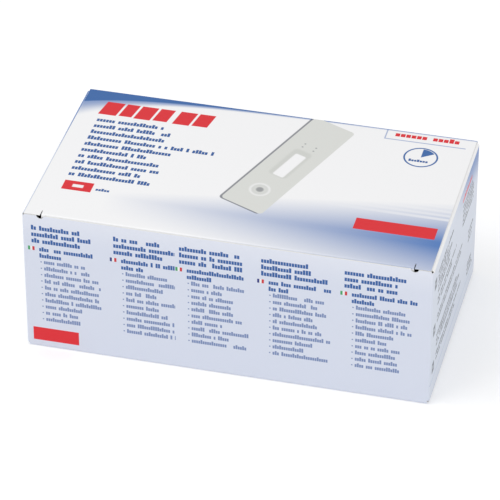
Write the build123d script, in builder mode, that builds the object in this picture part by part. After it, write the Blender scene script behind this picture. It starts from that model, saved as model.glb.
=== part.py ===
from build123d import *
from math import atan, cos, degrees, pi
import os

os.makedirs("parts", exist_ok=True)

# Carton, outside, in millimetres: X along its length, -Y its front, Z up from the table it stands on
length = 230
width = 130
height = 90
board = 0.5  # thickness of the carton board
crease = 1.2  # outside radius of a folded edge
slip = 0.1  # air between two layers of board

# Lid and its tuck flap
lid_inset = 1.4  # lid edge to the carton's end, each side
tuck_depth = 20
tuck_lean = 2.4  # how far the flap's free edge leans in, so that it swings out past the front wall
tuck_corner = 14
slit_reach = 9  # slit lock, from the lid's end inwards along the front fold
slit_gap = 0.6
half_moon = 2.2  # radius of the cut in the front wall at the slit's inner end

# Dust flaps under the lid
dust_depth = 42
dust_shoulder = 9.5  # full-width part that the lid's slit locks on
dust_step = 3.2  # how far the edge steps back behind the tuck flap
dust_taper = 4
dust_corner = 8

# Snap-lock bottom: front panel outside, then the end flaps, then the back panel, then the tongue
stub = 4  # straight board past a fold, where a flap's outline takes over
front_panel_edge = -3
ramp_length = 7
tongue_half = 60
tongue_end = 30
tongue_corner = 10
recess_half = 64
recess_edge = 6
hook_edge = -14
end_flap_depth = 44
end_flap_narrow = 26
flap_corner = 7

# Glued side seam
glue_flap = 15
glue_slant = 6
seam_gap = 0.2

# Foil pouches with the test cassettes, standing on edge in one row
pouch_count = 20
pouch_width = 96
pouch_height = 62
pouch_pitch = 5.15
pouch_thick = 4.8
pouch_seal = 0.5
pouch_seal_band = 8
pouch_slope = 9

# Peel packs with the swabs, in two tiers along the back wall, heads and tails in turn
pack_count = 20
pack_tiers = 2
pack_length = 204
pack_height = 22
pack_pitch = 2.8
pack_film = 0.4
tent_half = 5.5  # half width of the film where it lifts over the stick
ridge_half = 0.8
stick_thick = 2.4
stick_length = 150
bud_thick = 4.4
bud_length = 17
bud_start = 12  # pack end to bud

# Tube rack with its tubes and dropper tips
tube_columns = 5
tube_rows = 4
tube_pitch = 16
rack_height = 46
rack_wall = 1.2
rack_margin = 2.5
rack_draft = 1.5
rack_foot = 1.5  # ledge round the rack's base
rack_corner = 5
tube_sides = 8
tube_radius = 4.9
tube_fit = 0.35
tube_flange = 6.4
flange_thick = 1.2
tube_below = 43
tube_cone = 12
tube_tip = 2.6
tube_mouth = 6
tip_wall = 0.9
tip_fit = 0.1
tip_neck = 2.3
tip_end = 1.1
tip_rise = 11

# Folded leaflet in front of the rack
leaflet_length = 82
leaflet_height = 58
leaflet_layers = 6
leaflet_paper = 0.4
leaflet_pitch = 0.9
leaflet_y = -56

# Dropper bottles: two large ones with reagents and two small ones with controls
reagent_radius = 12
reagent_shoulder = 38
control_radius = 8.5
control_shoulder = 23
bottle_gap = 1.6
bottle_sides = 20
bottle_edge = 1.5
neck_share = 0.54  # neck radius to body radius
neck_rise = 0.65  # neck height, and nozzle height above its rim, to body radius
nozzle_rim = 1
cap_gap = 0.3
cap_wall = 1.1
cap_sides = 12
cap_ribs = 15
rib_cut = 0.5

# Air round the contents
wall_air = 1
row_air = 2
rack_air = 6

half_length = length / 2
half_width = width / 2
dust_top = height - board - slip
front_edge = dust_top - slip
lid_front = -(half_width - board - slip)
lid_half = half_length - lid_inset
slit_x = lid_half - slit_reach
end_flap_level = board + slip
back_panel_level = 2 * end_flap_level
tongue_level = 3 * end_flap_level
floor = tongue_level + board + slip
belt_foot = back_panel_level + crease
fold_half_x = half_length - crease
fold_half_y = half_width - crease

pouch_start = -half_length + board + wall_air
bottle_x = pouch_start + pouch_count * pouch_pitch + row_air + reagent_radius
rack_length = tube_columns * tube_pitch + 2 * rack_margin
rack_width = tube_rows * tube_pitch + 2 * rack_margin
rack_x = bottle_x + reagent_radius + rack_air + rack_length / 2
rack_y = -2
rack_top = floor + rack_height
pack_back = half_width - 2 * board - wall_air
packs_in_tier = pack_count // pack_tiers
pouch_y = pack_back - packs_in_tier * pack_pitch - row_air - pouch_width / 2


def folded_section(plane, corners, radius=crease):
    """Section of folded board: its outer face runs through the corners, the board lies to the left."""
    with BuildSketch(plane) as section:
        with BuildLine():
            path = FilletPolyline(*corners, radius=radius)
            offset(path, amount=board, side=Side.LEFT)
        make_face()
    return section.sketch


def end_wall_section():
    """Right end wall with the folds to its bottom flap and to its dust flap."""
    corners = [
        (half_length - stub, end_flap_level),
        (half_length, end_flap_level),
        (half_length, dust_top),
        (half_length - stub, dust_top),
    ]
    return folded_section(Plane.XZ, corners)


def front_wall_section():
    """Front wall, cut plain at the top and folded to the bottom's outer panel."""
    return folded_section(Plane.YZ, [(-half_width, front_edge), (-half_width, 0), (-half_width + stub, 0)])


def back_wall_section():
    """Back wall, folded to the bottom's inner panel and running up to the lid's hinge crease."""
    corners = [
        (half_width - stub, back_panel_level),
        (half_width, back_panel_level),
        (half_width, height - slip / 2),
    ]
    return folded_section(Plane.YZ, corners)


def hinge_mitre():
    """Wedge cut off the back wall's top edge, so that the lid turns on the outer corner."""
    top = height - slip / 2
    with BuildSketch(Plane.YZ) as wedge:
        with BuildLine():
            Polyline(
                (half_width, top),
                (half_width - 2 * board, top - 2 * board),
                (half_width - 2 * board, top + board),
                close=True,
            )
        make_face()
    return wedge.sketch


def ramp_section():
    """Foot of the bottom's tongue, where it climbs through the recess."""
    climb_end = front_panel_edge + ramp_length
    corners = [
        (front_panel_edge - stub, 0),
        (front_panel_edge, 0),
        (climb_end, tongue_level),
        (climb_end + stub, tongue_level),
    ]
    return folded_section(Plane.YZ, corners)


def flap_outline(level, corners, eased, shape, size):
    """Flat flap of board at a level; the corners whose numbers are given are rounded or cut off."""
    with BuildSketch(Plane.XY.offset(level)) as outline:
        with BuildLine():
            Polyline(*corners, close=True)
        make_face()
        picked = [outline.vertices().sort_by_distance((*corners[number], level))[0] for number in eased]
        shape(picked, size)
    return outline.sketch


def dust_flap_outline():
    """Right dust flap: a full-width shoulder, then a front edge that steps back and tapers."""
    inner = half_length - dust_depth
    shoulder = half_length - dust_shoulder
    stepped = -fold_half_y + dust_step
    corners = [
        (half_length - stub, -fold_half_y),
        (shoulder, -fold_half_y),
        (shoulder - 1, stepped),
        (inner, stepped + dust_taper),
        (inner, fold_half_y - 2 * dust_taper),
        (half_length - stub, fold_half_y),
    ]
    return flap_outline(dust_top - board, corners, (3, 4), fillet, dust_corner)


def front_panel_outline():
    """Outer panel of the bottom, from the front fold to its free edge."""
    root = -half_width + stub
    corners = [
        (-fold_half_x, root),
        (fold_half_x, root),
        (fold_half_x - flap_corner, front_panel_edge),
        (-fold_half_x + flap_corner, front_panel_edge),
    ]
    return flap_outline(0, corners, (2, 3), chamfer, flap_corner)


def tongue_outline():
    """Flat part of the tongue, lying on the back panel."""
    root = front_panel_edge + ramp_length + stub
    corners = [
        (-tongue_half, root),
        (tongue_half, root),
        (tongue_half, tongue_end),
        (-tongue_half, tongue_end),
    ]
    return flap_outline(tongue_level, corners, (2, 3), fillet, tongue_corner)


def back_panel_outline():
    """Inner panel of the bottom, with the wide recess that takes the tongue."""
    hook_x = fold_half_x - flap_corner
    corners = [
        (-fold_half_x, half_width - stub),
        (-hook_x, hook_edge),
        (-recess_half, hook_edge),
        (-recess_half, recess_edge),
        (recess_half, recess_edge),
        (recess_half, hook_edge),
        (hook_x, hook_edge),
        (fold_half_x, half_width - stub),
    ]
    return flap_outline(back_panel_level, corners, (1, 2, 5, 6), chamfer, flap_corner)


def end_flap_outline():
    """Right end flap of the bottom, tapering to its free edge."""
    inner = half_length - end_flap_depth
    root = fold_half_y - 2 * board
    corners = [
        (half_length - stub, -root),
        (inner, -end_flap_narrow),
        (inner, end_flap_narrow),
        (half_length - stub, root),
    ]
    return flap_outline(end_flap_level, corners, (1, 2), chamfer, flap_corner)


def glue_flap_outline():
    """Glue flap on the inside of the back wall, its ends cut back at an angle."""
    low = belt_foot + board
    high = dust_top - crease - board
    edge = -half_length + board
    tip = edge + glue_flap
    with BuildSketch(Plane.XZ.offset(-(half_width - 2 * board))) as outline:
        with BuildLine():
            Polyline(
                (edge, low),
                (tip, low + glue_slant),
                (tip, high - glue_slant),
                (edge, high),
                close=True,
            )
        make_face()
    return outline.sketch


# One folded sheet: four walls, a glued seam, two dust flaps and a snap-lock bottom
with BuildPart() as carton_body:
    with BuildSketch(Plane.XY.offset(belt_foot)):
        RectangleRounded(length, width, crease)
        RectangleRounded(length - 2 * board, width - 2 * board, crease - board, mode=Mode.SUBTRACT)
    extrude(amount=dust_top - crease - belt_foot)
    extrude(end_wall_section(), amount=fold_half_y, both=True)
    extrude(dust_flap_outline(), amount=board)
    extrude(end_flap_outline(), amount=board)
    mirror(about=Plane.YZ)
    extrude(front_wall_section(), amount=fold_half_x, both=True)
    extrude(front_panel_outline(), amount=board)
    extrude(ramp_section(), amount=tongue_half, both=True)
    extrude(tongue_outline(), amount=board)
    extrude(back_wall_section(), amount=fold_half_x, both=True)
    extrude(back_panel_outline(), amount=board)
    extrude(glue_flap_outline(), amount=-board)
    extrude(hinge_mitre(), amount=length, both=True, mode=Mode.SUBTRACT)
    with BuildSketch(Plane.XZ.offset(half_width)):
        with Locations((slit_x, height - board), (-slit_x, height - board)):
            Circle(half_moon)
    extrude(amount=-2 * board, mode=Mode.SUBTRACT)
    with BuildSketch(Plane.XY.offset(belt_foot)):
        with Locations((-fold_half_x, half_width)):
            Rectangle(seam_gap, board)
    extrude(amount=height, mode=Mode.SUBTRACT)
carton_body.part.label = "carton_body"
export_step(carton_body.part, "parts/carton_body.step")


def tuck_section():
    """Front fold of the lid and the tuck flap, which leans inwards from the fold."""
    corners = [
        (lid_front + stub, height),
        (lid_front, height),
        (lid_front + tuck_lean, height - tuck_depth),
    ]
    return folded_section(Plane.YZ, corners, crease - slip)


def lid_section():
    """Top panel, mitred at the back where it turns on its outer corner."""
    with BuildSketch(Plane.YZ) as section:
        with BuildLine():
            Polyline(
                (half_width, height),
                (lid_front + stub, height),
                (lid_front + stub, height - board),
                (half_width - board, height - board),
                close=True,
            )
        make_face()
    return section.sketch


# The carton's lid: top panel, slit corners and tuck flap, folded from the same sheet
with BuildPart() as lid:
    extrude(lid_section(), amount=lid_half, both=True)
    extrude(tuck_section(), amount=slit_x - slit_gap, both=True)
    with BuildSketch(Plane.XY.offset(height - board)):
        with Locations((slit_x + slit_reach / 2, 0), (-slit_x - slit_reach / 2, 0)):
            with Locations((0, (lid_front + stub - half_width + slip) / 2)):
                Rectangle(slit_reach, half_width - slip + lid_front + stub)
    extrude(amount=board)
    tuck_ends = lid.edges().filter_by(Axis.Y, tolerance=10).group_by(Axis.Z)[0].sort_by(Axis.X)
    fillet([tuck_ends[0], tuck_ends[-1]], radius=tuck_corner)
lid.part.label = "lid"
export_step(lid.part, "parts/lid.step")


def placed(piece, place):
    """The piece, moved from where it was drawn to a plane in the carton."""
    with BuildPart() as moved:
        with Locations(place):
            add(piece)
    return moved.part


# Sealed foil pouch, drawn lying flat: a seal all round and a middle raised on both sides
with BuildPart() as foil_pouch:
    pouch_rise = (pouch_thick - pouch_seal) / 2
    with BuildSketch():
        Rectangle(pouch_width, pouch_height)
    extrude(amount=pouch_seal / 2)
    with BuildSketch(Plane.XY.offset(pouch_seal / 2)):
        Rectangle(pouch_width - 2 * pouch_seal_band, pouch_height - 2 * pouch_seal_band)
    extrude(amount=pouch_rise, taper=degrees(atan(pouch_slope / pouch_rise)))
    mirror(about=Plane.XY)

# Sealed peel pack, drawn lying flat: film raised in a ridge over the stick, and higher over the bud
with BuildPart() as peel_pack:
    with BuildSketch():
        Rectangle(pack_length, pack_height)
    extrude(amount=pack_film / 2)
    for ridge_length, ridge_thick in ((stick_length, stick_thick), (bud_length, bud_thick)):
        ridge_rise = ridge_thick / 2
        with BuildSketch():
            with Locations((bud_start + (ridge_length - pack_length) / 2, 0)):
                Rectangle(ridge_length, 2 * tent_half)
        extrude(amount=ridge_rise, taper=degrees(atan((tent_half - ridge_half) / ridge_rise)))
    mirror(about=Plane.XY)

for number in range(pouch_count):
    pouch_centre = (pouch_start + (number + 0.5) * pouch_pitch, pouch_y, floor + pouch_height / 2)
    pouch = placed(foil_pouch.part, Plane(pouch_centre, x_dir=(0, 1, 0), z_dir=(1, 0, 0)))
    pouch.label = f"cassette_pouch_{number + 1:02d}"
    export_step(pouch, f"parts/{pouch.label}.step")

for number in range(pack_count):
    tier, row = divmod(number, packs_in_tier)
    heading = 1 if row % 2 else -1
    pack_y = pack_back - (row + 0.5) * pack_pitch
    pack_z = floor + (tier + 0.5) * pack_height + tier * slip
    pack = placed(peel_pack.part, Plane((0, pack_y, pack_z), x_dir=(heading, 0, 0), z_dir=(0, heading, 0)))
    pack.label = f"swab_pack_{number + 1:02d}"
    export_step(pack, f"parts/{pack.label}.step")


# Rack: a thin moulded shell, open underneath, with a hole for each tube and a ledge at its foot
rack_base = Plane((rack_x, rack_y, floor))
with BuildPart() as tube_rack:
    with BuildSketch(rack_base) as rack_outline:
        Rectangle(rack_length, rack_width)
        chamfer(rack_outline.vertices(), rack_corner)
    extrude(amount=rack_height, taper=rack_draft)
    offset(amount=-rack_wall, openings=tube_rack.faces().sort_by(Axis.Z)[0])
    with BuildSketch(rack_base) as foot_outline:
        Rectangle(rack_length + 2 * rack_foot, rack_width + 2 * rack_foot)
        chamfer(foot_outline.vertices(), rack_corner)
        Rectangle(rack_length - 2 * rack_wall, rack_width - 2 * rack_corner, mode=Mode.SUBTRACT)
        Rectangle(rack_length - 2 * rack_corner, rack_width - 2 * rack_wall, mode=Mode.SUBTRACT)
    extrude(amount=rack_wall)
    with BuildSketch(rack_base.offset(rack_height)):
        with GridLocations(tube_pitch, tube_pitch, tube_columns, tube_rows):
            RegularPolygon(tube_radius + tube_fit, tube_sides)
    extrude(amount=-2 * rack_wall, mode=Mode.SUBTRACT)
tube_rack.part.label = "tube_rack"
export_step(tube_rack.part, "parts/tube_rack.step")


def narrowing(sides, wide, narrow, rise):
    """Many-sided band that stands on its wide end."""
    slope = atan((wide - narrow) * cos(pi / sides) / rise)
    with BuildPart() as band:
        with BuildSketch():
            RegularPolygon(wide, sides)
        extrude(amount=rise, taper=degrees(slope))
    return band.part


def stacked(sides, rings):
    """Small moulded piece with many-sided sections, a band between each two rings (height, radius)."""
    bands = []
    for (low, low_radius), (high, high_radius) in zip(rings, rings[1:]):
        if low_radius >= high_radius:
            place = Plane.XY.offset(low)
        else:
            place = -Plane.XY.offset(high)
        if high > low:
            wide, narrow = max(low_radius, high_radius), min(low_radius, high_radius)
            bands.append((place, narrowing(sides, wide, narrow, high - low)))
    with BuildPart() as piece:
        for place, band in bands:
            with Locations(place):
                add(band)
    return piece.part


def in_rack(piece):
    """The piece in each hole of the rack."""
    with BuildPart() as pieces:
        with Locations(Plane((rack_x, rack_y, rack_top))):
            with GridLocations(tube_pitch, tube_pitch, tube_columns, tube_rows):
                add(piece)
    return pieces.part


rim_top = flange_thick + tube_mouth
cover = rim_top + slip

tube = stacked(tube_sides, [
    (-tube_below, tube_tip),
    (-tube_below + tube_cone, tube_radius),
    (0, tube_radius),
    (0, tube_flange),
    (flange_thick, tube_flange),
    (flange_thick, tube_radius),
    (rim_top, tube_radius),
])
extraction_tubes = in_rack(tube)
extraction_tubes.label = "extraction_tubes"
export_step(extraction_tubes, "parts/extraction_tubes.step")

# Dropper tip: a skirt over the tube's rim and a nozzle above it
tip_outside = stacked(tube_sides, [
    (flange_thick + slip, tube_radius + tip_fit + tip_wall),
    (cover, tube_radius + tip_fit + tip_wall),
    (cover + tip_rise / 3, tip_neck),
    (cover + tip_rise, tip_end),
])
with BuildPart() as dropper_tip:
    add(tip_outside)
    with BuildSketch(Plane.XY.offset(cover)):
        RegularPolygon(tube_radius + tip_fit, tube_sides)
    extrude(amount=-tube_mouth, mode=Mode.SUBTRACT)
dropper_tips = in_rack(dropper_tip.part)
dropper_tips.label = "dropper_tips"
export_step(dropper_tips, "parts/dropper_tips.step")

# Leaflet folded to and fro, standing on its edges
with BuildPart() as package_insert:
    with BuildSketch(Plane.XY.offset(floor)):
        with BuildLine():
            left = rack_x - leaflet_length / 2
            turns = [
                (left + (side != layer % 2) * leaflet_length, leaflet_y + layer * leaflet_pitch)
                for layer in range(leaflet_layers)
                for side in (True, False)
            ]
            offset(Polyline(*turns), amount=leaflet_paper / 2, kind=Kind.INTERSECTION, side=Side.BOTH)
        make_face()
    extrude(amount=leaflet_height)
package_insert.part.label = "package_insert"
export_step(package_insert.part, "parts/package_insert.step")


def ribbed_outline(plane, radius):
    """Section of a cap: its rim steps in and out between the ribs."""
    turn = 180 / cap_ribs
    ribs = [
        Vector(radius - number % 2 * rib_cut, 0).rotate(Axis.Z, number * turn)
        for number in range(2 * cap_ribs)
    ]
    with BuildSketch(plane) as outline:
        with BuildLine():
            Polyline(*ribs, close=True)
        make_face()
    return outline.sketch


def dropper_bottle(name, y, radius, shoulder):
    """Filled bottle, the dropper nozzle on its neck, and a ribbed screw cap over both."""
    neck = neck_share * radius
    neck_low = shoulder + radius / 3
    neck_top = neck_low + neck_rise * radius
    nozzle_low = neck_top + nozzle_rim
    nozzle_top = nozzle_low + neck_rise * radius
    nozzle_radius = neck / 2
    cap_low = neck_low + cap_gap
    cap_top = nozzle_top + cap_gap + cap_wall
    cap_radius = neck + cap_gap + cap_wall + rib_cut
    round_over = 1 / cos(pi / cap_sides)
    upright = Plane((bottle_x, y, floor))

    bottle = stacked(bottle_sides, [
        (0, radius - bottle_edge),
        (bottle_edge, radius),
        (shoulder, radius),
        ((2 * shoulder + neck_low) / 3, radius - bottle_edge),
        (neck_low, neck),
        (neck_top, neck),
    ])
    bottle = placed(bottle, upright)
    bottle.label = f"{name}_bottle"
    export_step(bottle, f"parts/{name}_bottle.step")

    nozzle = stacked(tube_sides, [
        (neck_top, neck),
        (nozzle_low, neck),
        (nozzle_low, nozzle_radius),
        (nozzle_top, nozzle_radius / 2),
    ])
    nozzle = placed(nozzle, upright)
    nozzle.label = f"{name}_nozzle"
    export_step(nozzle, f"parts/{name}_nozzle.step")

    with BuildPart() as cap:
        extrude(ribbed_outline(upright.offset(cap_low), cap_radius), amount=cap_top - cap_low)
        with BuildSketch(upright.offset(cap_low)):
            RegularPolygon((neck + cap_gap) * round_over, cap_sides)
        extrude(amount=nozzle_low + cap_gap - cap_low, mode=Mode.SUBTRACT)
        with BuildSketch(upright.offset(nozzle_low)):
            RegularPolygon(nozzle_radius * round_over + cap_gap, cap_sides)
        extrude(amount=nozzle_top + cap_gap - nozzle_low, mode=Mode.SUBTRACT)
    cap.part.label = f"{name}_cap"
    export_step(cap.part, f"parts/{name}_cap.step")


bottle_y = rack_y - rack_width / 2 - reagent_radius
dropper_bottle("reagent_1", bottle_y, reagent_radius, reagent_shoulder)
bottle_y += 2 * reagent_radius + bottle_gap
dropper_bottle("reagent_2", bottle_y, reagent_radius, reagent_shoulder)
bottle_y += reagent_radius + control_radius + bottle_gap
dropper_bottle("positive_control", bottle_y, control_radius, control_shoulder)
bottle_y += 2 * control_radius + bottle_gap
dropper_bottle("negative_control", bottle_y, control_radius, control_shoulder)
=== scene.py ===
import math

import bpy
from mathutils import Matrix, Vector, noise


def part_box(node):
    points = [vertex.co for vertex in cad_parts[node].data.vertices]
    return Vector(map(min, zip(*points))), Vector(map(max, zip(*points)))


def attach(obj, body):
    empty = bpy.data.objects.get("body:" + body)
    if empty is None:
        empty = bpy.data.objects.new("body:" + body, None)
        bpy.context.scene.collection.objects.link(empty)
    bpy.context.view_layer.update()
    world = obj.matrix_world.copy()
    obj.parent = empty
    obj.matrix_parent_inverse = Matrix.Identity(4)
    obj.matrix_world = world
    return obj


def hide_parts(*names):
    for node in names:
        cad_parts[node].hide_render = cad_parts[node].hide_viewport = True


bl_info = {
    "name": "Test kit carton",
    "version": (1, 0, 0),
    "blender": (4, 5, 0),
    "location": "View3D > Sidebar > Carton",
    "description": "Dresses a folding carton with its printed board and everything packed in it",
    "category": "Add Mesh",
}

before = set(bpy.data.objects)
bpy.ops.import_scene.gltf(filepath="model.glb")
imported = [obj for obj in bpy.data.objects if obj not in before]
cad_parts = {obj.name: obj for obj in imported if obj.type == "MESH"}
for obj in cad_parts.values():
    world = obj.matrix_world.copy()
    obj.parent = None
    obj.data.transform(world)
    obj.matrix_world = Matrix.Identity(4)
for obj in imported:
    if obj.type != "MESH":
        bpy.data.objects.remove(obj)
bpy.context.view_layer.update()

MM = 0.001
POUCHES = [name for name in sorted(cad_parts) if name.startswith("cassette_pouch")]
PACKS = [name for name in sorted(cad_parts) if name.startswith("swab_pack")]


def in_mm(node):
    """Lowest and highest corner of a CAD node, in millimetres."""
    low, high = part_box(node)
    return low / MM, high / MM


# Folded board, in mm

HALF_LENGTH, HALF_WIDTH = in_mm("carton_body")[1].xy
LID_LOW, LID_HIGH = in_mm("lid")
HEIGHT = LID_HIGH.z
BOARD = 0.5  # thickness of the board
CREASE = 1.2  # outside radius of a folded edge
SLIP = 0.1  # air between two layers of board
TUCK_LEAN = 2.4  # how far the tuck flap's free edge leans in
TAB_REACH = 9.3  # from the lid's end to the end of its slit


# Sizes and colours that a user would change


def colour(name, description, default):
    """Colour property, written as the surface's plain shade from 0 to 1."""
    return bpy.props.FloatVectorProperty(
        name=name, description=description, default=default, size=3, min=0, max=1, subtype="COLOR"
    )


def measure(name, description, default, unit):
    """Property with a unit, a length being in metres."""
    return bpy.props.FloatProperty(name=name, description=description, default=default, unit=unit)


def share(name, description, default):
    """Property from 0 to 1."""
    return bpy.props.FloatProperty(
        name=name, description=description, default=default, min=0, max=1, subtype="FACTOR"
    )


class BoardSettings(bpy.types.PropertyGroup):
    coating: colour("Coating", "Coated white side of the board", (0.94, 0.94, 0.95))
    inside: colour("Inside", "Uncoated side of the board", (0.74, 0.73, 0.7))
    core: colour("Core", "Cut edge of the board", (0.83, 0.83, 0.81))
    walls: colour("Walls", "Pale tint of the long walls' print", (0.69, 0.73, 0.84))
    # Painted light: the front wall is painted lighter towards its top, over a print that is even.
    walls_top_painted_light: colour("Walls' top", "Lighter tint under the lid's edge", (0.76, 0.79, 0.88))
    back_top: colour("Back's top", "Deeper tint at the top of the back wall", (0.36, 0.45, 0.66))
    end_walls: colour("End walls", "Pale tint of the end walls' print", (0.68, 0.73, 0.83))
    blue: colour("Blue", "Strong blue of the print's fields", (0.03, 0.13, 0.39))
    soft_blue: colour("Soft blue", "Blue of the fading fields", (0.08, 0.2, 0.51))
    red: colour("Red", "Red of the title and the bars", (0.74, 0.01, 0.02))
    words: colour("Words", "Blue of the rows of words", (0.018, 0.1, 0.34))
    grey_words: colour("Grey words", "Grey of the small print", (0.09, 0.1, 0.13))
    plate: colour("Plate", "Grey of the pictured test plate", (0.72, 0.73, 0.7))
    patch_red: colour("Patch red", "Red of the small patches", (0.6, 0.02, 0.03))
    patch_blue: colour("Patch blue", "Blue of the small patches", (0.02, 0.03, 0.2))
    patch_green: colour("Patch green", "Green of the small patches", (0.05, 0.35, 0.12))
    patch_white: colour("Patch white", "White of the small patches", (0.85, 0.85, 0.85))


class PouchSettings(bpy.types.PropertyGroup):
    foil: colour("Foil", "Metal of the laminated foil", (0.86, 0.87, 0.88))
    # Painted shade: the foil is darker along its creases.
    shaded_creases: colour("Creases", "Foil where it is creased", (0.62, 0.63, 0.66))
    wrinkle: measure("Wrinkle", "Height of the foil's wrinkles", 0.0003, "LENGTH")
    seal: measure("Seal", "Width of the sealed edge", 0.007, "LENGTH")


class PackSettings(bpy.types.PropertyGroup):
    paper: colour("Paper", "Medical paper on the back", (0.87, 0.88, 0.9))
    fibres: colour("Fibres", "Fibres in the paper", (0.78, 0.8, 0.84))
    film: colour("Film", "Film over the swab", (0.8, 0.84, 0.88))
    seal: colour("Seal", "Film where it is sealed to the paper", (0.9, 0.92, 0.94))
    stick: colour("Stick", "Shaft of the swab, seen through the film", (0.93, 0.92, 0.88))
    bud: colour("Bud", "Tip of the swab, seen through the film", (0.93, 0.93, 0.92))


class PlasticSettings(bpy.types.PropertyGroup):
    rack: colour("Rack", "Moulded sheet of the rack", (0.8, 0.81, 0.83))
    tube: colour("Tube", "Soft clear plastic of the tubes", (0.83, 0.87, 0.9))
    tip: colour("Tip", "Natural plastic of tips and nozzles", (0.86, 0.87, 0.87))
    bottle: colour("Bottle", "Milky plastic of the bottles", (0.87, 0.88, 0.86))
    label: colour("Label", "Paper label round a bottle", (0.88, 0.88, 0.87))
    # Painted shadow: the fine dark line along a label's edges.
    label_edge_shadow: colour("Label's edge", "Fine shade at a label's edge", (0.4, 0.4, 0.42))
    grey_band: colour("Grey band", "Band on the label under the white cap", (0.5, 0.52, 0.55))
    white_cap: colour("White cap", "Cap of the first reagent", (0.86, 0.86, 0.85))
    blue_cap: colour("Blue cap", "Cap of the second reagent", (0.015, 0.1, 0.4))
    red_cap: colour("Red cap", "Cap of the positive control", (0.55, 0.012, 0.012))
    green_cap: colour("Green cap", "Cap of the negative control", (0.012, 0.25, 0.06))


class LeafletSettings(bpy.types.PropertyGroup):
    paper: colour("Paper", "Thin uncoated paper", (0.87, 0.87, 0.85))
    words: colour("Words", "Rows of words on the leaflet", (0.1, 0.1, 0.12))


class StageSettings(bpy.types.PropertyGroup):
    floor: colour("Floor", "Pale floor and backdrop", (0.97, 0.97, 0.97))
    key: measure("Key", "Power of the large lamp", 10, "POWER")
    fill: measure("Fill", "Power of the low lamp", 5, "POWER")
    world: share("World", "Strength of the light from all round", 0.72)
    glow: share("Glow", "White that the floor adds to what the camera sees", 0.16)
    lens: measure("Lens", "Focal length in mm", 242.15, "CAMERA")


SETTINGS = {
    "carton_board": BoardSettings,
    "carton_pouches": PouchSettings,
    "carton_packs": PackSettings,
    "carton_plastics": PlasticSettings,
    "carton_leaflet": LeafletSettings,
    "carton_stage": StageSettings,
}


# Shader nodes


def arithmetic(operation, swapped=False):
    """Method that joins a link to a number or to another link."""

    def joined(self, other):
        values = (other, self) if swapped else (self, other)
        return self.nodes.math(operation, *values)

    return joined


class Link:
    """What a node gives, with plain arithmetic on it."""

    def __init__(self, nodes, socket):
        self.nodes = nodes
        self.socket = socket

    def __abs__(self):
        return self.nodes.math("ABSOLUTE", self)

    __add__ = arithmetic("ADD")
    __radd__ = arithmetic("ADD", swapped=True)
    __sub__ = arithmetic("SUBTRACT")
    __rsub__ = arithmetic("SUBTRACT", swapped=True)
    __mul__ = arithmetic("MULTIPLY")
    __truediv__ = arithmetic("DIVIDE")
    __gt__ = arithmetic("GREATER_THAN")
    __lt__ = arithmetic("LESS_THAN")


# Places of the Mix node's colour sockets, which share their names with others
MIX_FACTOR, MIX_BASE, MIX_INK, MIX_RESULT = 0, 6, 7, 2


class Nodes:
    """Adds nodes to one tree by short calls."""

    def __init__(self, tree):
        self.tree = tree

    def add(self, kind, *values, named=None, **settings):
        """A node with these values or links in its first inputs and in the named ones."""
        node = self.tree.nodes.new(kind)
        for key, value in settings.items():
            setattr(node, key, value)
        self.fill(node, {**dict(enumerate(values)), **(named or {})})
        return node

    def get(self, kind, *values, output=0, **settings):
        """What a new node gives at one of its outputs."""
        return Link(self, self.add(kind, *values, **settings).outputs[output])

    def fill(self, node, values):
        """Sets or links a node's inputs by their numbers or names."""
        for key, value in values.items():
            socket = node.inputs[key]
            if isinstance(value, Link):
                self.tree.links.new(value.socket, socket)
            elif socket.type == "RGBA":
                socket.default_value = (*value, 1)
            else:
                socket.default_value = value

    def parts(self, place):
        """The three numbers of a place."""
        return [Link(self, socket) for socket in self.add("ShaderNodeSeparateXYZ", place).outputs]

    def math(self, operation, *values):
        return self.get("ShaderNodeMath", *values, operation=operation)

    def scaled(self, value, factor, offset):
        """The value times the factor, plus the offset."""
        return self.math("MULTIPLY_ADD", value, factor, offset)

    def most(self, first, *others):
        for other in others:
            first = self.math("MAXIMUM", first, other)
        return first

    def distance(self, across, upward):
        """How far a place is, from its two offsets."""
        return self.math("SQRT", across * across + upward * upward)

    def chance(self, *seeds):
        """A random share for each set of numbers."""
        return self.get("ShaderNodeTexWhiteNoise", self.get("ShaderNodeCombineXYZ", *seeds))


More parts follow.
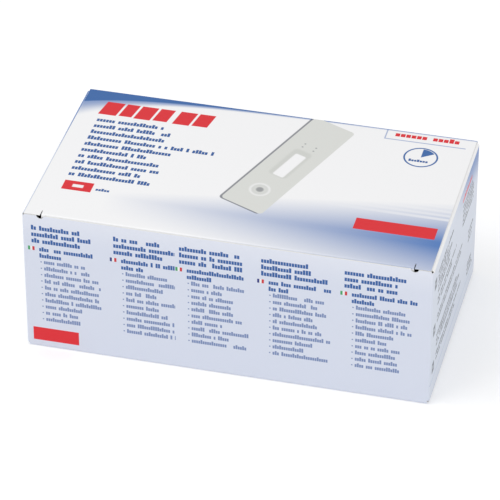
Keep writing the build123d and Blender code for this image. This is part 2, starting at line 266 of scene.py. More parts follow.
class Look(Nodes):
    """One material, with the place on the piece in mm as x, y and z."""

    def __init__(self, name, **sockets):
        self.material = bpy.data.materials.new(name)
        self.material.use_nodes = True
        super().__init__(self.material.node_tree)
        self.surface(**sockets)
        metres = self.get("ShaderNodeTexCoord", output="Object")
        self.place = self.get("ShaderNodeVectorMath", metres, named={"Scale": 1 / MM}, operation="SCALE")
        self.x, self.y, self.z = self.parts(self.place)

    def surface(self, **sockets):
        """Sets or links the surface's own inputs, and returns the material."""
        values = {name.replace("_", " "): value for name, value in sockets.items()}
        self.fill(self.tree.nodes["Principled BSDF"], values)
        return self.material

    def ramp(self, value, start, end, smooth=True):
        """0 at start and 1 at end, or the other way round when start is the larger."""
        results = (0, 1) if start < end else (1, 0)
        kind = "SMOOTHSTEP" if smooth else "LINEAR"
        limits = (min(start, end), max(start, end))
        return self.get("ShaderNodeMapRange", value, *limits, *results, interpolation_type=kind)

    def between(self, value, low, high, soft=0.15):
        """1 between the two limits, with a soft edge."""
        return self.ramp(value, low - soft, low + soft) * self.ramp(value, high + soft, high - soft)

    def block(self, along, up, left, right, low, high, soft=0.1):
        """Plain rectangle."""
        return self.between(along, left, right, soft) * self.between(up, low, high, soft)

    def words(self, along, up, left, top, short, long=None, rows=1, pitch=100.0, height=3.0, letter=1.7,
              seed=1.0):
        """Rows of words, from the left and the middle of the top row, short to long in length."""
        values = (along, up, left, top, pitch, rows, height, short, long or short, letter, seed)
        return self.get("ShaderNodeGroup", *values, node_tree=words_group())

    def paint(self, base, mask, ink):
        """The ink laid over the base where the mask is 1."""
        named = {MIX_FACTOR: mask, MIX_BASE: base, MIX_INK: ink}
        return self.get("ShaderNodeMix", named=named, data_type="RGBA", output=MIX_RESULT)

    def noise(self, scale, detail):
        """Noise with this many waves to the millimetre."""
        return self.get("ShaderNodeTexNoise", self.place, named={"Scale": scale, "Detail": detail})

    def bump(self, height, distance, strength):
        """Bump whose height of 1 stands for this distance, in mm."""
        named = {"Height": height, "Distance": distance * MM, "Strength": strength}
        self.surface(Normal=self.get("ShaderNodeBump", named=named))


def dress(node, material):
    """Gives a CAD node its one material."""
    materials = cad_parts[node].data.materials
    materials.clear()
    materials.append(material)


def darker(tone, part):
    return tuple(value * part for value in tone)


WORD_GAP = 0.13  # share of the letters' places that stay empty
LETTER_FILL = 0.84  # inked part of a letter's width
LOW_LETTER = 0.73  # height of a low letter to a tall one
TALL_FROM = 0.74  # chance past which a letter is tall


def words_group():
    """Node group for rows of words: broken bars that stand for small print, with no letters in them."""
    if "rows_of_words" in bpy.data.node_groups:
        return bpy.data.node_groups["rows_of_words"]
    tree = bpy.data.node_groups.new("rows_of_words", "ShaderNodeTree")
    names = ("Along", "Up", "Left", "Top", "Pitch", "Rows", "Height", "Short", "Long", "Letter", "Seed")
    for name in names:
        tree.interface.new_socket(name, in_out="INPUT", socket_type="NodeSocketFloat")
    tree.interface.new_socket("Ink", in_out="OUTPUT", socket_type="NodeSocketFloat")
    nodes = Nodes(tree)
    inlet = nodes.add("NodeGroupInput")
    along, up, left, top, pitch, rows, height, short, long, letter, seed = (
        Link(nodes, inlet.outputs[name]) for name in names
    )
    below_top = top - up
    row = nodes.math("ROUND", below_top / pitch)
    in_rows = (row > -0.5) * (row < rows - 0.5)
    from_left = along - left
    end = nodes.scaled(nodes.chance(row, seed, seed), long - short, short)
    step = from_left / letter
    number = nodes.math("FLOOR", step)
    in_line = (from_left > 0.0) * (number < nodes.math("FLOOR", end / letter))

    chance = nodes.chance(number, row, seed)
    inked = nodes.most(chance > WORD_GAP, number < 1.5)
    stroke = inked * (nodes.math("FRACT", step) < LETTER_FILL)
    reach = nodes.scaled(chance > TALL_FROM, 1.0 - LOW_LETTER, LOW_LETTER)
    rise = (row * pitch - below_top) / height + 0.5
    in_height = (rise > 0.0) * (rise < reach)
    nodes.add("NodeGroupOutput", in_rows * in_line * stroke * in_height)
    return tree


# Print on the lid, x from left to right and y from front to back

CORNER_CURVE, CORNER_DEPTH = 38.0, 14.0
FRINGE_CURVE, FRINGE_DEPTH, FRINGE_LEAST = 30.0, 17.0, 1.5


def back_corner(look, board, sheet):
    """Blue corner at the back left, with a curved edge and a fading fringe."""
    from_left = look.x + HALF_LENGTH
    curve = look.math("EXPONENT", from_left / -CORNER_CURVE)
    edge = look.scaled(curve, -CORNER_DEPTH, HALF_WIDTH)
    in_front = edge - look.y
    fringe = look.math("EXPONENT", from_left / -FRINGE_CURVE)
    reach = look.scaled(fringe, FRINGE_DEPTH, FRINGE_LEAST)
    fade = look.ramp(in_front / reach, 1.0, 0.0)
    sheet = look.paint(sheet, fade * 0.8, board.soft_blue)
    return look.paint(sheet, look.ramp(in_front, 0.6, -0.6), board.blue)


FIELD_LEFT, FIELD_RIGHT = -75.0, 112.0
FIELD_Y = -38.0
# Middle, half thickness and strength of each light stripe behind the field
STRIPES = ((-4.6, 0.8, 0.3), (-8.6, 1.0, 0.4), (-12.6, 1.0, 0.45), (-16.4, 1.1, 0.6))


def front_field(look, board, sheet):
    """Blue field at the front right, strongest in a band that thins out to the left."""
    from_left = look.ramp(look.x, FIELD_LEFT, FIELD_RIGHT, smooth=False)
    behind = look.y - FIELD_Y
    back_reach = look.scaled(from_left, 34.0, 4.0)
    back_fade = look.ramp(behind / back_reach, 1.0, 0.0, smooth=False)
    front_reach = look.scaled(from_left, 26.0, 16.0)
    front_fade = look.ramp(behind / front_reach, -1.2, -0.1, smooth=False)
    fade = look.math("MINIMUM", back_fade, front_fade)
    strength = look.math("POWER", from_left, 0.9) * fade
    sheet = look.paint(sheet, strength, board.soft_blue)
    for middle, half, light in STRIPES:
        across = look.between(look.y, middle - half, middle + half, 0.5)
        stripe = across * look.ramp(look.x, 30.0, 114.0) * light
        sheet = look.paint(sheet, stripe, board.coating)
    return sheet


TITLE_SLANT = 0.18
TITLE_TOP = 54.3
TITLE_FEET = (40.8, 41.4)  # of every other block
# Left end and width of each title block
TITLE = ((-109.5, 10.5), (-97.6, 7.6), (-88.6, 9.6), (-77.6, 8.4), (-65.8, 9.8), (-54.6, 9.2))


def title(look, board, sheet):
    """Title blocks, slanted as bold print is."""
    slanted = look.scaled(look.y, -TITLE_SLANT, look.x)
    for number, (left, wide) in enumerate(TITLE):
        mark = look.block(slanted, look.y, left, left + wide, TITLE_FEET[number % 2], TITLE_TOP, 0.2)
        sheet = look.paint(sheet, mark, board.red)
    return sheet


MARGIN = -100.8
LID_ROW_TOP = 35.0
LID_ROW_PITCH = 6.3
# Where each row of words under the title ends
LID_ROW_ENDS = (-60, -55, -57, -27, -49.5, -63, -53, -52, -60, -54)


def lid_words(look, board, sheet):
    """Rows of words under the title, then a red bar with a pale middle and a short word beside it."""
    x, y = look.x, look.y
    for row, end in enumerate(LID_ROW_ENDS):
        middle = LID_ROW_TOP - row * LID_ROW_PITCH
        line = look.words(x, y, MARGIN, middle, end - MARGIN, height=3.7, letter=1.8, seed=row + 3.0)
        sheet = look.paint(sheet, line, board.words)
    sheet = look.paint(sheet, look.block(x, y, MARGIN, -84.0, -37.5, -28.5), board.red)
    sheet = look.paint(sheet, look.block(x, y, -95.4, -89.2, -34.3, -31.6, 0.4), board.coating)
    beside = look.words(x, y, -81.8, -33.7, 8.0, height=2.6, letter=1.6, seed=31.0)
    return look.paint(sheet, beside, board.words)


TAG_LEFT, TAG_FOOT = 61.9, 54.9
DIAL_X, DIAL_Y = 86.0, 40.8
DIAL_RADIUS, DIAL_LINE = 9.8, 1.0
WEDGE_RADIUS, WEDGE_ANGLE = 8.6, 0.95


def tag_and_dial(look, board, sheet):
    """Tag at the back right with red words, a plain dial under it, and the red bar at the front."""
    x, y = look.x, look.y
    upright = look.block(x, y, TAG_LEFT, TAG_LEFT + 0.8, 55.0, 66.0)
    foot = look.block(x, y, TAG_LEFT, 108.8, TAG_FOOT, TAG_FOOT + 0.9)
    sheet = look.paint(sheet, look.most(upright, foot) * 0.6, board.soft_blue)
    red_words = look.words(x, y, 67.5, 61.0, 38.5, height=4.4, letter=3.1, seed=57.0)
    sheet = look.paint(sheet, red_words, board.red)

    across, upward = x - DIAL_X, y - DIAL_Y
    radius = look.distance(across, upward)
    angle = look.math("ARCTAN2", across, upward)
    in_wedge = look.between(angle, 0.0, WEDGE_ANGLE, 0.02)
    wedge = in_wedge * look.ramp(radius, WEDGE_RADIUS, WEDGE_RADIUS - 0.3)
    ring = look.between(radius, DIAL_RADIUS - DIAL_LINE, DIAL_RADIUS, 0.15)
    sheet = look.paint(sheet, look.most(ring, wedge), board.blue)
    short_word = look.words(x, y, 79.8, 37.2, 11.5, height=2.4, letter=1.6, seed=71.0)
    sheet = look.paint(sheet, short_word, board.words)
    return look.paint(sheet, look.block(x, y, 64.0, 109.3, -36.3, -25.7), board.red)


PLATE_X, PLATE_Y = 16.1, 15.8
# Directions of the plate's length and width as they are drawn, which aren't square to each other
LONG_X, LONG_Y = 0.337, 0.9415
WIDE_X, WIDE_Y = 0.913, -0.408
PLATE_HALF_WIDE, PLATE_HALF_LONG = 14.0, 48.5
PLATE_CORNER = 2.4
WELL_UP = -29.5
DOTS = ((-3.6, 19.2), (-3.9, 22.6), (3.9, 19.4), (3.6, 22.8))  # across and along the plate


def test_plate(look, board, sheet):
    """Picture of a plain test plate, drawn slanting across the middle of the lid."""
    across, upward = look.x - PLATE_X, look.y - PLATE_Y
    turn = LONG_X * WIDE_Y - LONG_Y * WIDE_X
    up = across * (WIDE_Y / turn) - upward * (WIDE_X / turn)
    side = upward * (LONG_X / turn) - across * (LONG_Y / turn)

    def rounded(middle, half_wide, half_long, corner, soft=0.25, shift=0.0):
        """Rounded rectangle round a point on the plate's long axis."""
        off_side = abs(side - shift) - (half_wide - corner)
        off_up = abs(up - middle) - (half_long - corner)
        away = look.distance(look.most(off_side, 0.0), look.most(off_up, 0.0))
        return look.ramp(away, corner + soft, corner - soft)

    shadow = rounded(-0.9, PLATE_HALF_WIDE, PLATE_HALF_LONG, PLATE_CORNER, shift=-1.2)
    sheet = look.paint(sheet, shadow * 0.8, board.grey_words)
    outline = rounded(0.0, PLATE_HALF_WIDE, PLATE_HALF_LONG, PLATE_CORNER)
    sheet = look.paint(sheet, outline, board.plate)
    dark = (board.plate[0] * 0.8, board.plate[1] * 0.81, board.plate[2] * 0.8)
    recess = rounded(1.5, 6.0, 14.6, 2.6, 1.2)
    sheet = look.paint(sheet, recess * 0.55, dark)
    window = rounded(-0.4, 3.6, 12.2, 1.2, 0.6, 0.6)
    sheet = look.paint(sheet, window, board.coating)
    for radius, tone in ((6.2, board.coating), (4.9, dark), (3.3, board.plate), (2.2, board.grey_words)):
        well = rounded(WELL_UP, radius, radius, radius - 0.05, 0.7)
        sheet = look.paint(sheet, well * 0.6, tone)
    for dot_side, dot_up in DOTS:
        away = look.distance(side - dot_side, up - dot_up)
        sheet = look.paint(sheet, look.ramp(away, 0.8, 0.4) * 0.5, board.grey_words)
    return sheet


def board_surface(look):
    """Fibres and slight waviness that all of the board shows; returns the fibres."""
    fibres = look.noise(1.3, 3.0)
    height = look.scaled(look.noise(0.035, 1.0), 6.0, fibres)
    look.bump(height, 0.02, 0.35)
    return look.ramp(fibres, 0.2, 0.8)


def raw_board(look, board, fibres):
    """The board's uncoated side."""
    return look.paint(board.inside, fibres * 0.35, board.core)


def lid_material(board):
    """Board of the lid: print outside, plain inside, raw on its cut edges."""
    look = Look("lid_board", Roughness=0.42, IOR=1.46)
    fibres = board_surface(look)
    wide = abs(look.x)
    flap_front = LID_LOW.y + BOARD
    flap_depth = LID_HIGH.z - LID_LOW.z
    slope = math.hypot(flap_depth, TUCK_LEAN)
    behind = look.y - flap_front
    over_fold = look.z - HEIGHT
    depth = behind * (flap_depth / slope) + over_fold * (TUCK_LEAN / slope)
    under = HEIGHT - look.z
    skin = look.math("MINIMUM", under, depth)
    on_tabs = wide > LID_HIGH.x - TAB_REACH
    deep = look.most(skin * (1.0 - on_tabs), under * on_tabs)
    outside = look.ramp(deep, 0.42, 0.34)

    face = back_corner(look, board, board.coating)
    for layer in (front_field, title, lid_words, tag_and_dial, test_plate):
        face = layer(look, board, face)
    on_top = look.ramp(look.z, HEIGHT - 1.6, HEIGHT - 0.9)
    face = look.paint(board.coating, on_top, face)
    tone = look.paint(raw_board(look, board, fibres), outside, face)
    cut = look.ramp(wide, LID_HIGH.x - 0.12, LID_HIGH.x - 0.05)
    return look.surface(Base_Color=look.paint(tone, cut, board.core))


# Print on the walls, x or y along them and z up

FIRST_COLUMN = -110.0
# Where each gap between two columns lies, and how far on the next column starts
COLUMN_STEPS = ((-65.6, 46.8), (-28.6, 37.2), (17.4, 46.0), (63.7, 46.3))
INDENT = 4.2
HEADING_TOP, HEADING_PITCH = 81.0, 4.3
INTRO_TOP, CONTENTS_TOP = 67.0, 62.7
LIST_LEFT, LIST_TOP, LIST_PITCH, LIST_ROWS = 6.6, 58.6, 4.32, 10
DASH_TOP = 58.4


def front_print(look, board):
    """Five columns of rows of words on the front wall, each with a small patch, and a red bar."""
    x, z = look.x, look.z
    # Painted light: the wall's tint turns lighter towards its top.
    sheet = look.paint(board.walls, look.ramp(z, 70.0, 92.0), board.walls_top_painted_light)
    column, left = 0.0, FIRST_COLUMN
    for gap, step in COLUMN_STEPS:
        past = x > gap
        column = column + past
        left = look.scaled(past, step, left)
    along = x - left
    headings = look.words(along, z, 0.0, HEADING_TOP, 27.0, 38.0, rows=3, pitch=HEADING_PITCH, height=3.1,
                          letter=1.55, seed=look.scaled(column, 3.7, 2.4))
    intro = look.words(along, z, INDENT, INTRO_TOP, 30.0, 38.0, height=2.9, letter=1.4, seed=column + 61.0)
    contents = look.words(along, z, INDENT, CONTENTS_TOP, 12.0, 15.0, height=2.9, letter=1.4,
                          seed=column + 71.0)
    listed = look.words(along, z, LIST_LEFT, LIST_TOP, 18.0, 33.0, rows=LIST_ROWS, pitch=LIST_PITCH,
                        height=2.7, letter=1.25, seed=column + 81.0)
    list_foot = DASH_TOP - (LIST_ROWS - 0.5) * LIST_PITCH
    in_row = look.math("FRACT", (z - list_foot) / LIST_PITCH)
    off_row = abs(in_row - 0.5)
    dashes = look.block(along, z, 4.6, 5.4, 18.0, 60.0) * look.ramp(off_row, 0.11, 0.07)
    sheet = look.paint(sheet, look.most(headings, intro, contents), board.words)
    sheet = look.paint(sheet, look.most(listed, dashes) * 0.75, board.words)
    sheet = patches(look, board, sheet, along, column)
    return look.paint(sheet, look.block(x, z, -111.2, -84.7, 4.5, 13.3), board.red)


PATCH_LEFT, PATCH_RIGHT = -2.2, 1.6
PATCH_LOW, PATCH_HIGH = 65.7, 68.3
PATCH_WHITE_FROM, PATCH_RED_FROM = -0.95, 0.3


def patches(look, board, sheet, along, column):
    """Small patch of three colours before each column, its first one green or blue in turn."""
    patch = look.block(along, look.z, PATCH_LEFT, PATCH_RIGHT, PATCH_LOW, PATCH_HIGH, 0.05)
    odd = look.math("FRACT", column * 0.5) > 0.25
    tone = look.paint(board.patch_green, odd, board.patch_blue)
    tone = look.paint(tone, along > PATCH_WHITE_FROM, board.patch_white)
    tone = look.paint(tone, along > PATCH_RED_FROM, board.patch_red)
    return look.paint(sheet, patch, tone)


def end_tint(look, board):
    """Either end wall: pale, with a blue top corner at the back."""
    back = look.ramp(look.y, -15.0, HALF_WIDTH + 8.0, smooth=False)
    height = look.z - look.scaled(back, -14.0, 96.0)
    field = look.ramp(height, -20.0, 3.0) * look.ramp(back, 0.0, 0.7) * 0.95
    return look.paint(board.end_walls, field, board.soft_blue)


# Left, top row, shortest and longest row, and number of rows of each block of small print
SMALL_PRINT = (
    (-50.0, 79.0, 30.0, 45.0, 5),
    (-50.0, 61.0, 40.0, 55.0, 2),
    (-50.0, 49.5, 66.0, 80.0, 2),
    (-50.0, 36.5, 45.0, 72.0, 3),
    (-50.0, 24.0, 50.0, 76.0, 2),
    (20.0, 75.0, 22.0, 35.0, 5),
    (40.0, 44.5, 8.0, 18.0, 3),
    (40.0, 21.5, 8.0, 18.0, 3),
)
SIGN_FEET = (73.0, 42.0, 17.0)


def end_print(look, board):
    """Right end wall, with blocks of small grey print beside three square signs."""
    y, z = look.y, look.z
    red_words = look.words(y, z, 18.0, 80.0, 29.0, height=3.0, letter=1.5, seed=15.0)
    sheet = look.paint(end_tint(look, board), red_words, board.red)
    for number, (left, top, short, long, rows) in enumerate(SMALL_PRINT):
        lines = look.words(y, z, left, top, short, long, rows=rows, pitch=3.2, height=2.1, letter=1.1,
                           seed=number + 20.0)
        sheet = look.paint(sheet, lines, board.grey_words)
    for low in SIGN_FEET:
        sign = look.block(y, z, -60.0, -54.5, low, low + 6.5, 0.2)
        hole = look.block(y, z, -58.2, -56.3, low + 2.2, low + 4.3, 0.2)
        sheet = look.paint(sheet, (sign - hole) * 0.9, board.grey_words)
    rule = look.between(look.scaled(y, 0.02, z), 10.7, 11.3, 0.15)
    return look.paint(sheet, rule * 0.35, board.soft_blue)


def body_material(board):
    """Board of the carton's walls, seam, dust flaps and bottom."""
    look = Look("carton_board", Roughness=0.42, IOR=1.46)
    y, z = look.y, look.z
    fibres = board_surface(look)
    past_x = abs(look.x) - (HALF_LENGTH - CREASE)
    past_y = abs(y) - (HALF_WIDTH - CREASE)
    past_top = z - (HEIGHT - BOARD - SLIP - CREASE)
    past_foot = BOARD + SLIP + CREASE - z
    beyond = [look.most(past, 0.0) for past in (past_x, past_y, past_top, past_foot)]
    skin = look.math("SQRT", sum(past * past for past in beyond))
    outside = look.ramp(skin, 0.9, 1.0)

    long_wall = past_y > past_x
    on_front = long_wall * (y < 0.0)
    on_back = long_wall * (y > 0.0)
    on_right = (past_x > past_y) * (look.x > 0.0)
    back = look.paint(board.walls, look.ramp(z, 30.0, 94.0), board.back_top)
    face = look.paint(end_tint(look, board), on_back, back)
    face = look.paint(face, on_right, end_print(look, board))
    # White band along the top of the right end wall, just under its fold, in the coating's colour.
    white_band = on_right * look.ramp(z, 87.7, 88.1)
    face = look.paint(face, white_band, board.coating)
    face = look.paint(face, on_front, front_print(look, board))
    wall = look.most(past_x, past_y) > 0.0
    face = look.paint(board.coating, wall, face)
    tone = look.paint(raw_board(look, board, fibres), outside, face)
    front_edge = (past_y > 0.0) * (y < 0.0) * look.ramp(z, 89.1, 89.2)
    return look.surface(Base_Color=look.paint(tone, front_edge, board.core))


class CARTON_OT_board(bpy.types.Operator):
    """Print the carton's board, outside only, with raw edges and a plain inside"""

    bl_idname = "carton.board"
    bl_label = "Printed board"

    def execute(self, context):
        board = context.scene.carton_board
        dress("lid", lid_material(board))
        dress("carton_body", body_material(board))
        return {"FINISHED"}


# Modelling by hand


def start_piece():
    """Leaves edit mode and drops the selection, so that what comes next acts on the new piece alone."""
    if bpy.context.object and bpy.context.object.mode != "OBJECT":
        bpy.ops.object.mode_set(mode="OBJECT")
    bpy.ops.object.select_all(action="DESELECT")


def turned(rings, sides):
    """Round piece on its own axis, raised ring by ring (height, radius) between a closed foot and top."""
    start_piece()
    (low, radius), *others = rings
    bpy.ops.mesh.primitive_circle_add(vertices=sides, radius=radius * MM, fill_type="NGON")
    piece = bpy.context.object
    bpy.ops.object.mode_set(mode="EDIT")
    bpy.ops.mesh.select_mode(type="FACE")
    bpy.ops.mesh.select_all(action="SELECT")
    bpy.ops.transform.translate(value=(0, 0, low * MM))
    for height, wide in others:
        bpy.ops.mesh.extrude_region_move(TRANSFORM_OT_translate={"value": (0, 0, (height - low) * MM)})
        growth = wide / radius
        bpy.ops.transform.resize(value=(growth, growth, 1), center_override=(0, 0, height * MM))
        low, radius = height, wide
    bpy.ops.mesh.select_all(action="SELECT")
    bpy.ops.mesh.normals_make_consistent(inside=False)
    bpy.ops.object.mode_set(mode="OBJECT")
    return piece


def soften(piece, width, segments=2, angle=35):
    """Rounds the piece's sharp edges, shades it smooth elsewhere, and returns it."""
    bevel = piece.modifiers.new("edges", "BEVEL")
    bevel.width = width * MM
    bevel.segments = segments
    bevel.limit_method = "ANGLE"
    bevel.angle_limit = math.radians(angle)
    bpy.context.view_layer.objects.active = piece
    piece.select_set(True)
    bpy.ops.object.modifier_apply(modifier="edges")
    bpy.ops.object.shade_smooth_by_angle(angle=math.radians(angle))
    return piece


def copy_at(piece, place):
    """Copy with a mesh of its own, its place in its mesh."""
    other = piece.copy()
    other.data = piece.data.copy()
    other.data.transform(place)
    bpy.context.scene.collection.objects.link(other)
    return other


def settle(piece, name, body, slot, *nodes):
    """Names a finished piece, ties it to its body and hides the CAD nodes that it stands for; slot is not
    used.
    """
    piece.name = name
    piece.data.name = name
    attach(piece, body)
    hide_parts(*nodes)


def discard(piece):
    """Takes away a pattern that has been copied."""
    bpy.data.objects.remove(piece)


def frame_at(centre, along, up):
    """Matrix that lays a piece's X along one direction and its Y along another."""
    along, up = Vector(along), Vector(up)
    turn = Matrix((along, up, along.cross(up))).transposed().to_4x4()
    return Matrix.Translation(centre) @ turn


def smoothstep(value):
    """0 up to 0, 1 from 1 on, and an even rise between them."""
    value = min(max(value, 0.0), 1.0)
    return value * value * (3 - 2 * value)


def flat_sheet(length, width, thick, across, down):
    """Thin closed sheet on a grid, with its own UV map from 0 to 1."""
    start_piece()
    bpy.ops.mesh.primitive_grid_add(x_subdivisions=across, y_subdivisions=down, size=1, calc_uvs=True)
    sheet = bpy.context.object
    bpy.ops.object.mode_set(mode="EDIT")
    bpy.ops.mesh.select_all(action="SELECT")
    bpy.ops.transform.resize(value=(length * MM, width * MM, 1))
    bpy.ops.object.mode_set(mode="OBJECT")
    wall = sheet.modifiers.new("wall", "SOLIDIFY")
    wall.thickness = thick * MM
    wall.offset = 0
    bpy.ops.object.modifier_apply(modifier="wall")
    return sheet


# Foil pouches

POUCH_LENGTH, POUCH_HEIGHT = 96.0, 62.0
KNURL = 6.5  # radians of the seal's knurl to the millimetre
# Half sizes of the filled middle and of the plate in it, and the slopes round them
FILL_HALF_LENGTH, FILL_HALF_HEIGHT = 41, 24
FILL_END_SLOPE, FILL_SIDE_SLOPE = 12, 11
PLATE_HALF_LENGTH, PLATE_HALF_HEIGHT = 36, 12
PLATE_SLOPE = 3
# Half thickness of the seal, what the middle and the plate add to it, and its limits
SEAL_HALF, FILL_RISE, PLATE_RISE = 0.2, 1.65, 0.3
THINNEST, THICKEST = 0.15, 2.35


def foil_material(pouch):
    """Satin laminated foil, finely creased and darkened along its creases as painted shade, with a knurled
    seal round its edge.
    """
    look = Look("pouch_foil", Metallic=0.8, IOR=1.45)
    u, v = look.parts(look.get("ShaderNodeUVMap"))[:2]
    along = abs(u - 0.5) * POUCH_LENGTH
    up = abs(v - 0.5) * POUCH_HEIGHT
    inward = look.math("MINIMUM", POUCH_LENGTH / 2 - along, POUCH_HEIGHT / 2 - up)
    seal = look.ramp(inward, pouch.seal / MM, pouch.seal / MM - 0.6)
    knurl = look.math("SINE", inward * KNURL)
    shaded_creases = look.noise(0.16, 6.0)
    fine = look.noise(0.9, 4.0)
    look.bump(shaded_creases + fine * 0.15 + knurl * seal * 0.12, 0.8, 0.8)
    dull = look.scaled(seal, 0.1, look.scaled(shaded_creases, 0.2, 0.27))
    # Painted shade: the foil is darkened along the crease pattern.
    tone = look.paint(pouch.foil, shaded_creases * 0.3, pouch.shaded_creases)
    return look.surface(Base_Color=tone, Roughness=dull)


def fill_pouch(mesh, number, wrinkle):
    """Swells the middle round the plate inside, and pulls the foil into creases between it and the seal."""
    offset = Vector((number * 7.3, number * 3.1, 0))
    for vertex in mesh.vertices:
        x, y = vertex.co.x / MM, vertex.co.y / MM
        side = 1 if vertex.co.z > 0 else -1
        rise = (smoothstep((FILL_HALF_LENGTH - abs(x)) / FILL_END_SLOPE)
                * smoothstep((FILL_HALF_HEIGHT - abs(y)) / FILL_SIDE_SLOPE))
        plate = (smoothstep((PLATE_HALF_LENGTH - abs(x)) / PLATE_SLOPE)
                 * smoothstep((PLATE_HALF_HEIGHT - abs(y)) / PLATE_SLOPE))
        slope = 4 * rise * (1 - rise)
        crease = noise.noise(Vector((x * 0.09, y * 0.16, side * 5)) + offset)
        fine = noise.noise(Vector((x * 0.35, y * 0.35, side * 9)) + offset)
        folds = wrinkle * (crease * (0.3 + slope) + 0.35 * fine) * 2
        height = SEAL_HALF + FILL_RISE * rise + PLATE_RISE * plate + folds
        seal_wave = 0.25 * noise.noise(Vector((x * 0.04, y * 0.05, number))) * (1 - rise)
        vertex.co.z = (side * min(max(height, THINNEST), THICKEST) + seal_wave) * MM


class CARTON_OT_pouches(bpy.types.Operator):
    """Fill and crease a foil pouch for each place in the row"""

    bl_idname = "carton.pouches"
    bl_label = "Foil pouches"

    def execute(self, context):
        pouch = context.scene.carton_pouches
        blank = flat_sheet(POUCH_LENGTH, POUCH_HEIGHT, 0.5, 48, 31)
        blank.data.materials.append(foil_material(pouch))
        for number, node in enumerate(POUCHES):
            low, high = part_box(node)
            piece = copy_at(blank, Matrix.Identity(4))
            fill_pouch(piece.data, number, pouch.wrinkle / MM)
            piece.data.transform(frame_at((low + high) / 2, (0, 1, 0), (0, 0, 1)))
            piece.data.shade_smooth()
            settle(piece, node + "_foil", "carton", "pouch_foil", node)
        discard(blank)
        return {"FINISHED"}


# Swab packs

PACK_LENGTH, PACK_WIDTH = 204.0, 22.0
PACK_SEAL = 3.4
FLAT_HALF = 0.15  # half of the flat pack's thickness
IN_TIER = 10
# How far to each side the stick and the bud lift the layers, and where along the pack they start and end
STICK_HALF, BUD_HALF = 5.0, 5.5
STICK_START, STICK_END = -90, 60
BUD_START, BUD_END = -91, -72
# How far the stick and the bud lift the film, and how far the paper behind them
FILM_LIFT = (1.0, 0.9)
PAPER_LIFT = (0.9, 0.8)


def paper_material(pack):
    """Medical paper of the pack's back."""
    look = Look("pack_paper", Roughness=0.75)
    fibres = look.noise(0.8, 5.0)
    look.bump(fibres, 0.06, 0.5)
    return look.surface(Base_Color=look.paint(pack.paper, fibres * 0.25, pack.fibres))


def film_material(pack):
    """Film of the pack's front, with the swab showing through and a paler seal."""
    look = Look("pack_film", Roughness=0.16, IOR=1.5)
    u, v = look.parts(look.get("ShaderNodeUVMap"))[:2]
    along = u * PACK_LENGTH
    across = abs(v - 0.5) * PACK_WIDTH
    stick = look.ramp(across, 1.35, 1.1) * look.between(along, 26.0, 162.0, 0.5)
    bud = look.ramp(across, 2.4, 1.9) * look.between(along, 12.5, 28.5, 1.2)
    edge = look.math("MINIMUM", PACK_WIDTH / 2 - across, PACK_LENGTH - along)
    seal = look.ramp(edge, PACK_SEAL, PACK_SEAL - 0.4)
    tone = look.paint(pack.film, seal * 0.6, pack.seal)
    tone = look.paint(tone, stick, pack.stick)
    tone = look.paint(tone, bud, pack.bud)
    look.bump(look.noise(0.12, 4.0), 0.9, 0.7)
    return look.surface(Base_Color=tone)


def lift_over_swab(mesh):
    """Lifts the film and the paper over the stick and the bud between them."""
    for vertex in mesh.vertices:
        x, y = vertex.co.x / MM, vertex.co.y / MM
        stick = smoothstep((x - STICK_START) / 4) * smoothstep((STICK_END - x) / 4)
        stick *= max(0.0, 1 - abs(y) / STICK_HALF)
        bud = smoothstep((x - BUD_START) / 3) * smoothstep((BUD_END - x) / 4)
        bud *= max(0.0, 1 - abs(y) / BUD_HALF)
        side, (stick_lift, bud_lift) = (1, FILM_LIFT) if vertex.co.z > 0 else (-1, PAPER_LIFT)
        vertex.co.z = side * (FLAT_HALF + stick_lift * stick + bud_lift * bud) * MM


class CARTON_OT_packs(bpy.types.Operator):
    """Seal a swab into a peel pack for each place in the two tiers"""

    bl_idname = "carton.packs"
    bl_label = "Swab packs"

    def execute(self, context):
        pack = context.scene.carton_packs
        blank = flat_sheet(PACK_LENGTH, PACK_WIDTH, 2 * FLAT_HALF, 102, 16)
        blank.data.materials.append(paper_material(pack))
        blank.data.materials.append(film_material(pack))
        for face in blank.data.polygons:
            face.material_index = 1 if face.normal.z > 0.5 else 0
        lift_over_swab(blank.data)
        for number, node in enumerate(PACKS):
            low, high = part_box(node)
            heading = 1 if number % IN_TIER % 2 else -1
            piece = copy_at(blank, frame_at((low + high) / 2, (heading, 0, 0), (0, 0, -1)))
            offset = Vector((number * 5.1, 0, 0))
            for vertex in piece.data.vertices:
                place = Vector((vertex.co.x / MM * 0.02, vertex.co.z / MM * 0.05, number))
                vertex.co.y += 0.1 * noise.noise(place + offset) * MM
            piece.data.shade_smooth()
            settle(piece, node + "_pack", "carton", "peel_pack", node)
        discard(blank)
        return {"FINISHED"}


# Bottles and caps

NECK_SHARE = 0.54  # neck's radius to the body's
NECK_RISE = 0.65  # neck's height to the body's radius
LABEL_FOOT, LABEL_TOP = 4, 2  # up from the bottle's foot, and down from its shoulder
CAP_TOP_WALL = 1.2
RIBS = 30
RIB_HEIGHT = 0.25
RIB_TAPER = 0.12


def plastic(name, tone, roughness, through=0.0, grain=0.25):
    """Moulded plastic with a faint mould texture and slightly uneven colour."""
    look = Look(name, Roughness=roughness, IOR=1.5, Transmission_Weight=through)
    uneven = look.ramp(look.noise(0.12, 3.0), 0.35, 0.75)
    look.bump(look.noise(2.2, 3.0), 0.02, grain)
    return look.surface(Base_Color=look.paint(tone, uneven, darker(tone, 0.88)))


